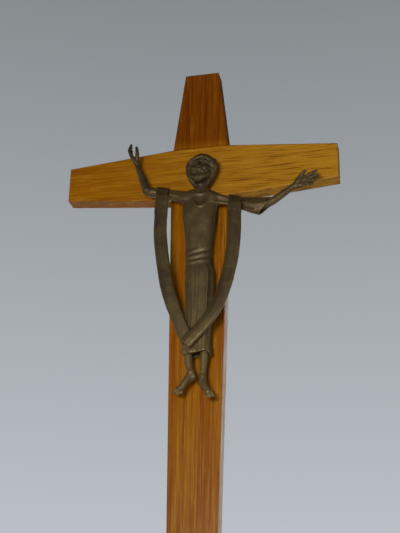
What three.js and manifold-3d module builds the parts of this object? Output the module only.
// Processional cross: a tapered wooden cross on a long flat shaft, with a bronze figure
// wearing a tunic and a stole on its front. Millimetres, +Z up, the front faces -Y.
// The origin is the middle of the shaft's flat foot.
import * as THREE from 'three';
import { mergeVertices } from 'three/addons/utils/BufferGeometryUtils.js';
import Module from 'manifold-3d';

const wasm = await Module();
wasm.setup();

// ---- driving dimensions ----------------------------------------------------------------
const boardThickness = 22;      // both boards
const edgeRound = 1.5;          // rounded long edges of the boards
const crossingHeight = 1681;    // foot to the middle of the crossing
const crossbarLength = 350;
const crossbarHeight = 73;      // at the crossing
const crossbarEndHeight = 47.2;
const headRise = 149;           // crossing to the top of the upright
const headWidth = 44.4;
const neckTopWidth = 71.8;      // upright where it leaves the crossbar's upper edge
const neckFootWidth = 73.8;     // upright where it leaves the crossbar's lower edge
const gripTop = 544;            // the shaft is parallel below this height
const gripWidth = 32;
const fitGap = 0.25;            // room left between pieces that touch

// fastenings: depths are measured back from the boards' front face
const lapScrewReach = 20;       // lap screws stand at the corners of a square
const lapScrew = { shank: 1.75, head: 3.6, headHeight: 2.6, taper: 2, length: 12, outerFace: 16.4 };
const plugRadius = 5;
const plugLength = 5.2;
const plugRecess = 13.6;
const figureScrew = { shank: 2, head: 4, headHeight: 3, taper: 0.01, length: 26, outerFace: 20.3 };
const figureScrewDrops = [66, 150, 228];   // below the crossing
const washer = { inner: 2.6, outer: 6.2, thickness: 1.2 };
const washerRecess = 15.5;
const washerRecessRadius = 7;
const drillGap = 0.3;           // around a shank

// the figure and its stole, measured from the crossing on the boards' front face
const figureX = 4.5;            // the figure hangs slightly to one side
const figureY = -14;            // middle of the figure's depth
const robeDepthRatio = 0.62;    // depth over width
const bossRadius = 5.5;         // pads behind the figure that rest on the board
const bandWidth = 16.5;
const bandThickness = 4.4;
const archThickness = 2.2;      // where a band passes over an arm
const archDepthRatio = 1.35;
const bandBack = figureY - 11.6;   // inner face of the bands, just clear of the skirt

const ferruleHeight = 60;
const ferruleWall = 1.6;
const ferruleFloor = 4;
const pinHeight = 38;

// ---- materials -------------------------------------------------------------------------
const finish = (color, roughness, metalness) =>
  new THREE.MeshStandardMaterial({ color, roughness, metalness });
const oak = finish('#9c6a24', 0.4, 0);
const darkOak = finish('#6e4412', 0.4, 0);
const bronze = finish('#4a4030', 0.42, 0.8);
const brass = finish('#b08d4a', 0.35, 0.9);
const steel = finish('#8b8f94', 0.35, 0.9);

// ---- small helpers ---------------------------------------------------------------------
const group = new THREE.Group();
const cross = new THREE.Group();      // its origin is the crossing, on the boards' front face
cross.position.set(0, -boardThickness / 2, crossingHeight);
group.add(cross);

function place(parent, name, geometry, material) {
  const mesh = new THREE.Mesh(geometry, material);
  mesh.name = name;
  parent.add(mesh);
  return mesh;
}

function solid(geometry) {
  const bare = new THREE.BufferGeometry();
  bare.setAttribute('position', geometry.getAttribute('position').clone());
  if (geometry.index) bare.setIndex(geometry.index.clone());
  const merged = mergeVertices(bare, 1e-4);
  return new wasm.Manifold(new wasm.Mesh({
    numProp: 3,
    vertProperties: new Float32Array(merged.getAttribute('position').array),
    triVerts: new Uint32Array(merged.index.array),
  }));
}

function geometryOf(manifold) {
  const mesh = manifold.getMesh();
  const geometry = new THREE.BufferGeometry();
  geometry.setAttribute('position', new THREE.BufferAttribute(mesh.vertProperties, 3));
  geometry.setIndex(new THREE.BufferAttribute(mesh.triVerts, 1));
  geometry.computeVertexNormals();
  return geometry;
}

const joined = (pieces) => pieces.reduce((whole, piece) => whole.add(piece));
const cutAway = (whole, pieces) => pieces.reduce((rest, piece) => rest.subtract(piece), whole);

function block(x0, x1, y0, y1, z0, z1) {
  const box = new THREE.BoxGeometry(x1 - x0, y1 - y0, z1 - z0);
  return box.translate((x0 + x1) / 2, (y0 + y1) / 2, (z0 + z1) / 2);
}

// a round bar along Y, from y0 to y1
function barAlongY(radius, x, y0, y1, z, sides = 16) {
  const bar = new THREE.CylinderGeometry(radius, radius, y1 - y0, sides);
  return bar.translate(x, (y0 + y1) / 2, z);
}

// an outline drawn in X and Z, given the board's thickness, centred on Y = 0
function board(outline, thickness, round) {
  const slab = new THREE.ExtrudeGeometry(new THREE.Shape(outline), {
    depth: thickness - 2 * round,
    bevelThickness: round,
    bevelSize: round,
    bevelOffset: -round,
    bevelSegments: 3,
  });
  return slab.rotateX(Math.PI / 2).translate(0, thickness / 2 - round, 0);
}

// points of a half outline, closed with its mirror image
function mirrored(half) {
  const right = half.map(([x, z]) => new THREE.Vector2(x, z));
  const left = half.map(([x, z]) => new THREE.Vector2(-x, z)).reverse();
  return [...right, ...left];
}

function ellipsoid(x, y, z, rx, ry, rz, turn = 0) {
  const ball = new THREE.SphereGeometry(1, 12, 8).rotateX(Math.PI / 2);
  return ball.scale(rx, ry, rz).rotateY(turn).translate(x, y, z);
}

// a limb: a tapered round bar with domed ends, along a smooth line through [x, y, z, radius]
function limb(points, sides = 8) {
  const spine = new THREE.CatmullRomCurve3(points.map(([x, y, z]) => new THREE.Vector3(x, y, z)));
  const toFront = new THREE.Vector3(0, -1, 0);
  const corners = [];
  const addRing = (t, shift, scale) => {
    const position = t * (points.length - 1);
    const before = Math.min(Math.floor(position), points.length - 2);
    const radius = THREE.MathUtils.lerp(points[before][3], points[before + 1][3], position - before);
    const along = spine.getTangent(t);
    const side = along.clone().cross(toFront).normalize();
    const front = side.clone().cross(along);
    const centre = spine.getPoint(t).addScaledVector(along, shift * radius);
    const count = scale > 0 ? sides : 1;
    for (let k = 0; k < count; k += 1) {
      const angle = 2 * Math.PI * k / sides;
      corners.push(centre.clone()
        .addScaledVector(side, Math.cos(angle) * radius * scale)
        .addScaledVector(front, Math.sin(angle) * radius * scale));
    }
  };
  const steps = 2 * (points.length - 1);
  addRing(0, -1, 0);
  addRing(0, -0.7, 0.7);
  for (let i = 0; i <= steps; i += 1) addRing(i / steps, 0, 1);
  addRing(1, 0.7, 0.7);
  addRing(1, 1, 0);
  const last = corners.length - 1;
  const rings = steps + 3;
  const triangles = [];
  for (let k = 0; k < sides; k += 1) {
    const next = (k + 1) % sides;
    triangles.push(0, 1 + k, 1 + next);
    triangles.push(last, last - sides + next, last - sides + k);
    for (let i = 0; i < rings - 1; i += 1) {
      const a = 1 + i * sides + k;
      const b = 1 + i * sides + next;
      triangles.push(a, a + sides, b, b, a + sides, b + sides);
    }
  }
  const geometry = new THREE.BufferGeometry().setFromPoints(corners);
  geometry.setIndex(triangles);
  return solid(geometry);
}

// ---- the two boards, half-lapped at the crossing ----------------------------------------
const neckHalf = crossbarHeight / 2;
const lapCorners = [[-1, -1], [1, -1], [1, 1], [-1, 1]];
const midPlane = boardThickness / 2;     // depth of the lap below the front face

function uprightPiece() {
  const footHeight = ferruleFloor + fitGap - crossingHeight;
  const outline = mirrored([
    [gripWidth / 2, footHeight],
    [gripWidth / 2, gripTop - crossingHeight],
    [neckFootWidth / 2, -neckHalf],
    [neckTopWidth / 2, neckHalf],
    [headWidth / 2, headRise],
  ]);
  const slab = board(outline, boardThickness, edgeRound).translate(0, midPlane, 0);
  const lap = block(-60, 60, -1, midPlane + fitGap / 2, -neckHalf - fitGap, neckHalf + fitGap);
  const cuts = [solid(lap)];
  for (const [sx, sz] of lapCorners) {
    const x = sx * lapScrewReach;
    const z = sz * lapScrewReach;
    cuts.push(solid(barAlongY(lapScrew.shank + drillGap, x, midPlane - 1, plugRecess + 1, z)));
    cuts.push(solid(barAlongY(plugRadius, x, plugRecess, boardThickness + 1, z, 20)));
  }
  for (const drop of figureScrewDrops) {
    cuts.push(solid(barAlongY(figureScrew.shank + drillGap, figureX, -1, boardThickness, -drop)));
    cuts.push(solid(barAlongY(washerRecessRadius, figureX, washerRecess, boardThickness + 1,
      -drop, 24)));
  }
  // the foot is thinned to go into the ferrule
  const shoulder = ferruleHeight + fitGap - crossingHeight;
  const tongueX = gripWidth / 2 - ferruleWall;
  const tongueY = boardThickness / 2 - ferruleWall;
  const sleeve = solid(block(-20, 20, -5, boardThickness + 5, footHeight - 5, shoulder));
  const tongue = solid(block(-tongueX, tongueX, midPlane - tongueY, midPlane + tongueY,
    footHeight - 6, shoulder + 1));
  cuts.push(sleeve.subtract(tongue));
  cuts.push(solid(barAlongY(1.5, 0, -1, boardThickness + 1, pinHeight - crossingHeight)));
  return cutAway(solid(slab), cuts);
}

function crossbarPiece() {
  const tip = crossbarLength / 2;
  const shoulder = (neckTopWidth + neckFootWidth) / 4;
  const upperEdge = [
    [crossbarEndHeight / 2, -tip],
    [neckHalf, -shoulder],
    [neckHalf, shoulder],
    [crossbarEndHeight / 2, tip],
  ];
  const outline = mirrored(upperEdge).map((point) => new THREE.Vector2(point.y, -point.x));
  const slab = board(outline, boardThickness, edgeRound).translate(0, midPlane, 0);
  const lapOutline = mirrored([
    [neckFootWidth / 2 + fitGap, -neckHalf - 5],
    [neckTopWidth / 2 + fitGap, neckHalf + 5],
  ]);
  const lap = board(lapOutline, boardThickness, 0);
  lap.translate(0, boardThickness - fitGap / 2, 0);
  const cuts = [solid(lap)];
  for (const [sx, sz] of lapCorners) {
    cuts.push(solid(barAlongY(lapScrew.shank + drillGap, sx * lapScrewReach,
      lapScrew.outerFace - lapScrew.length - 1, midPlane + 1, sz * lapScrewReach)));
  }
  return cutAway(solid(slab), cuts);
}

place(cross, 'upright', geometryOf(uprightPiece()), oak);
place(cross, 'crossbar', geometryOf(crossbarPiece()), oak);

// ---- screws, plugs and washers that hold the lap and the figure --------------------------
// a screw along Y; its head's outer face is at Y = 0 and faces the back
function screwGeometry({ shank, head, headHeight, taper, length }) {
  const profile = [
    [0, -length],
    [shank / 2, -length],
    [shank, shank - length],
    [shank, -headHeight],
    [head, taper - headHeight],
    [head, 0],
    [0, 0],
  ];
  return new THREE.LatheGeometry(profile.map(([r, depth]) => new THREE.Vector2(r, depth)), 16);
}

function washerGeometry() {
  const { inner, outer, thickness } = washer;
  const section = [[inner, 0], [outer, 0], [outer, thickness], [inner, thickness], [inner, 0]];
  return new THREE.LatheGeometry(section.map(([r, depth]) => new THREE.Vector2(r, depth)), 20);
}

lapCorners.forEach(([sx, sz], i) => {
  const x = sx * lapScrewReach;
  const z = sz * lapScrewReach;
  const screw = place(cross, `lap_screw_${i + 1}`, screwGeometry(lapScrew), steel);
  screw.position.set(x, lapScrew.outerFace, z);
  const plug = place(cross, `lap_plug_${i + 1}`,
    new THREE.CylinderGeometry(plugRadius - drillGap / 2, plugRadius - drillGap / 2, plugLength, 20),
    darkOak);
  plug.position.set(x, boardThickness - plugLength / 2, z);
});

figureScrewDrops.forEach((drop, i) => {
  const ring = place(cross, `figure_washer_${i + 1}`, washerGeometry(), brass);
  ring.position.set(figureX, washerRecess + fitGap, -drop);
  const screw = place(cross, `figure_screw_${i + 1}`, screwGeometry(figureScrew), steel);
  screw.position.set(figureX, figureScrew.outerFace, -drop);
});

// ---- the bronze figure -------------------------------------------------------------------
function robe() {
  // half widths of the tunic from the neck down to the open hem
  const neckToHem = [
    [0, -29], [8, -30.5], [15, -34], [20.5, -40], [21.5, -50], [21, -60], [18.8, -90],
    [16.6, -118], [17.6, -124], [17.6, -132], [16.6, -138], [17.8, -150], [17.2, -190],
    [16.8, -246], [14.6, -246], [14.2, -236], [0, -236],
  ];
  const hemToNeck = neckToHem.map(([r, z]) => new THREE.Vector2(r, z)).reverse();
  const turned = new THREE.LatheGeometry(hemToNeck, 20).rotateX(Math.PI / 2);
  return solid(turned.scale(1, robeDepthRatio, 1).translate(figureX, figureY, 0));
}

// a calm, plain head under cap-like hair, with a short beard
function head() {
  const x = 7;
  const yHead = -19;
  const z = -7;
  const skull = solid(ellipsoid(x, yHead, z, 15, 15.5, 19));
  const hair = solid(ellipsoid(x, yHead + 1.5, z + 2.2, 18, 16.4, 20));
  const faceOpening = solid(block(x - 13, x + 13, yHead - 30, yHead - 6, z - 30, z + 8));
  const beard = solid(ellipsoid(x, yHead - 4.5, z - 12, 10.5, 9.5, 11));
  const nose = limb([[x, yHead - 14.8, z + 3, 1.5], [x, yHead - 17.4, z - 4, 2.2]], 6);
  const brow = limb([[x - 9, yHead - 11, z + 4.5, 1.8], [x, yHead - 14.2, z + 5, 1.8],
    [x + 9, yHead - 11, z + 4.5, 1.8]], 6);
  const lips = limb([[x - 3.6, yHead - 12.6, z - 8.4, 1.5], [x, yHead - 13.8, z - 8.4, 1.7],
    [x + 3.6, yHead - 12.6, z - 8.4, 1.5]], 6);
  const neck = limb([[x, yHead + 3, z - 12, 8], [x - 1, figureY, -40, 8.5]]);
  return joined([skull, hair.subtract(faceOpening), beard, nose, brow, lips, neck]);
}

// the sloping cloth over the shoulders
function shoulders() {
  return limb([[-13, figureY, -43, 8.5], [figureX, figureY, -38, 8.5], [24, figureY, -47, 8.5]]);
}

// arm axes, shared with the loops of the stole
const leftArm = [[-14, figureY, -41, 7.5], [-30, figureY - 1.5, -37, 6.5], [-47, figureY - 2.5, -33.5, 6],
  [-64, figureY - 3, -29, 6], [-71.5, figureY - 4, -8, 4.6], [-78, figureY - 5, 9.5, 3.4]];
const rightArm = [[22, figureY, -44, 8], [35, figureY - 1, -48, 7], [52, figureY - 1.5, -54.5, 6.2],
  [77, figureY - 2, -66.5, 4.6], [94, figureY - 2, -60, 3.6], [120, figureY - 3, -42.5, 3.4]];

function leftHand() {
  const palm = solid(ellipsoid(-82, figureY - 5, 17, 6, 3.4, 7.5, -0.5));
  const fingers = limb([[-85.5, figureY - 5, 21, 3], [-87.5, figureY - 5, 29, 2.4],
    [-85, figureY - 5.5, 37, 1.8]], 6);
  const thumb = limb([[-78, figureY - 5.5, 18, 2.6], [-77.5, figureY - 7, 31, 2]], 6);
  return joined([palm, fingers, thumb]);
}

function rightHand() {
  const palm = solid(ellipsoid(131, figureY - 3, -37.5, 10, 3.4, 6.5, -0.45));
  const fingers = limb([[137, figureY - 3, -36, 4.4], [144, figureY - 3.5, -33, 3.8],
    [151, figureY - 4.5, -29, 2.6]], 6);
  const thumb = limb([[130, figureY - 4, -34, 2.6], [138.5, figureY - 6, -27.5, 1.9]], 6);
  return joined([palm, fingers, thumb]);
}

function legs() {
  const left = limb([[-5, figureY, -232, 5], [-4.6, figureY, -258, 4.4], [-0.5, figureY, -273, 3.8],
    [-7, figureY - 2, -280, 3.8], [-19, figureY - 5, -294.5, 3]]);
  const right = limb([[13.5, figureY, -232, 5], [12.6, figureY, -262, 4.2], [13, figureY, -280, 3.8],
    [16, figureY - 2, -287, 4], [25, figureY - 5, -299, 3]]);
  return [left, right];
}

function figurePiece() {
  const bosses = figureScrewDrops.map((drop) =>
    solid(barAlongY(bossRadius, figureX, figureY, -drillGap, -drop, 12)));
  const body = joined([robe(), shoulders(), head(), limb(leftArm), limb(rightArm), leftHand(), rightHand(),
    ...legs(), ...bosses]);
  const holes = figureScrewDrops.map((drop) =>
    solid(barAlongY(figureScrew.shank + drillGap, figureX,
      figureScrew.outerFace - figureScrew.length - 1, 1, -drop, 12)));
  return cutAway(body, holes);
}

place(cross, 'figure', geometryOf(figurePiece()), bronze);

// ---- the stole: two bands that hang from the arms and cross over the skirt ----------------
function band(centreLine, width) {
  const line = new THREE.SplineCurve(centreLine.map(([x, z]) => new THREE.Vector2(x, z)));
  const steps = 18;
  const right = [];
  const left = [];
  for (let i = 0; i <= steps; i += 1) {
    const point = line.getPointAt(i / steps);
    const ahead = line.getTangentAt(i / steps);
    const across = new THREE.Vector2(ahead.y, -ahead.x).multiplyScalar(width / 2);
    right.push(point.clone().add(across));
    left.push(point.clone().sub(across));
  }
  const outline = [...right, ...left.reverse()].reverse();
  const slab = board(outline, bandThickness, 1.2);
  return solid(slab.translate(0, bandBack - bandThickness / 2, 0));
}

// an arch over an arm, from a point of the arm's axis to one further left, and deep enough
// for its front to meet the band
function arch([x0, y0, z0, r0], [x1, y1, z1, r1], width) {
  const inner = Math.max(r0, r1) + fitGap;
  const outer = inner + archThickness;
  const half = new THREE.Shape();
  half.absarc(0, 0, outer, 0, Math.PI, false);
  half.absarc(0, 0, inner, Math.PI, 0, true);
  const ring = new THREE.ExtrudeGeometry(half, {
    depth: width,
    curveSegments: 8,
    bevelEnabled: false,
  });
  ring.translate(0, 0, -width / 2).scale(archDepthRatio, 1, 1);
  // the arch runs along the arm, and its open side faces down
  const along = new THREE.Vector3(x1 - x0, y1 - y0, z1 - z0).normalize();
  const toFront = new THREE.Vector3(0, -1, 0).addScaledVector(along, along.y).normalize();
  const up = new THREE.Vector3().crossVectors(along, toFront);
  ring.applyMatrix4(new THREE.Matrix4().makeBasis(toFront, up, along));
  return solid(ring.translate((x0 + x1) / 2, (y0 + y1) / 2, (z0 + z1) / 2));
}

function stolePiece() {
  const leftBand = band([[-40.5, -33.5], [-41, -60], [-41, -95], [-37.5, -128], [-31.5, -160],
    [-22, -192], [-8, -226], [-5, -233]], bandWidth);
  const rightBand = band([[51, -51], [50.8, -80], [50.5, -105], [47.5, -135], [41, -166],
    [30, -196], [14, -218], [0.5, -231], [-3.5, -235]], bandWidth);
  return joined([leftBand, rightBand, arch(leftArm[1], leftArm[2], bandWidth),
    arch(rightArm[2], rightArm[1], 14)]);
}

place(cross, 'stole', geometryOf(stolePiece()), bronze);

// ---- the metal shoe on the foot ----------------------------------------------------------
function ferrulePiece() {
  const outerX = gripWidth / 2 + 0.4;
  const outerY = boardThickness / 2 + 0.4;
  const innerX = outerX - ferruleWall;
  const innerY = outerY - ferruleWall;
  const shell = solid(block(-outerX, outerX, -outerY, outerY, 0, ferruleHeight));
  const pocket = solid(block(-innerX, innerX, -innerY, innerY, ferruleFloor, ferruleHeight + 1));
  const pinHole = solid(barAlongY(1.5, 0, -20, 20, pinHeight));
  return cutAway(shell, [pocket, pinHole]);
}

place(group, 'ferrule', geometryOf(ferrulePiece()), brass);
const pinLength = boardThickness + 1.6;
const pin = place(group, 'ferrule_pin', barAlongY(1.3, 0, -pinLength / 2, pinLength / 2, 0), brass);
pin.position.set(0, 0, pinHeight);

export default group;
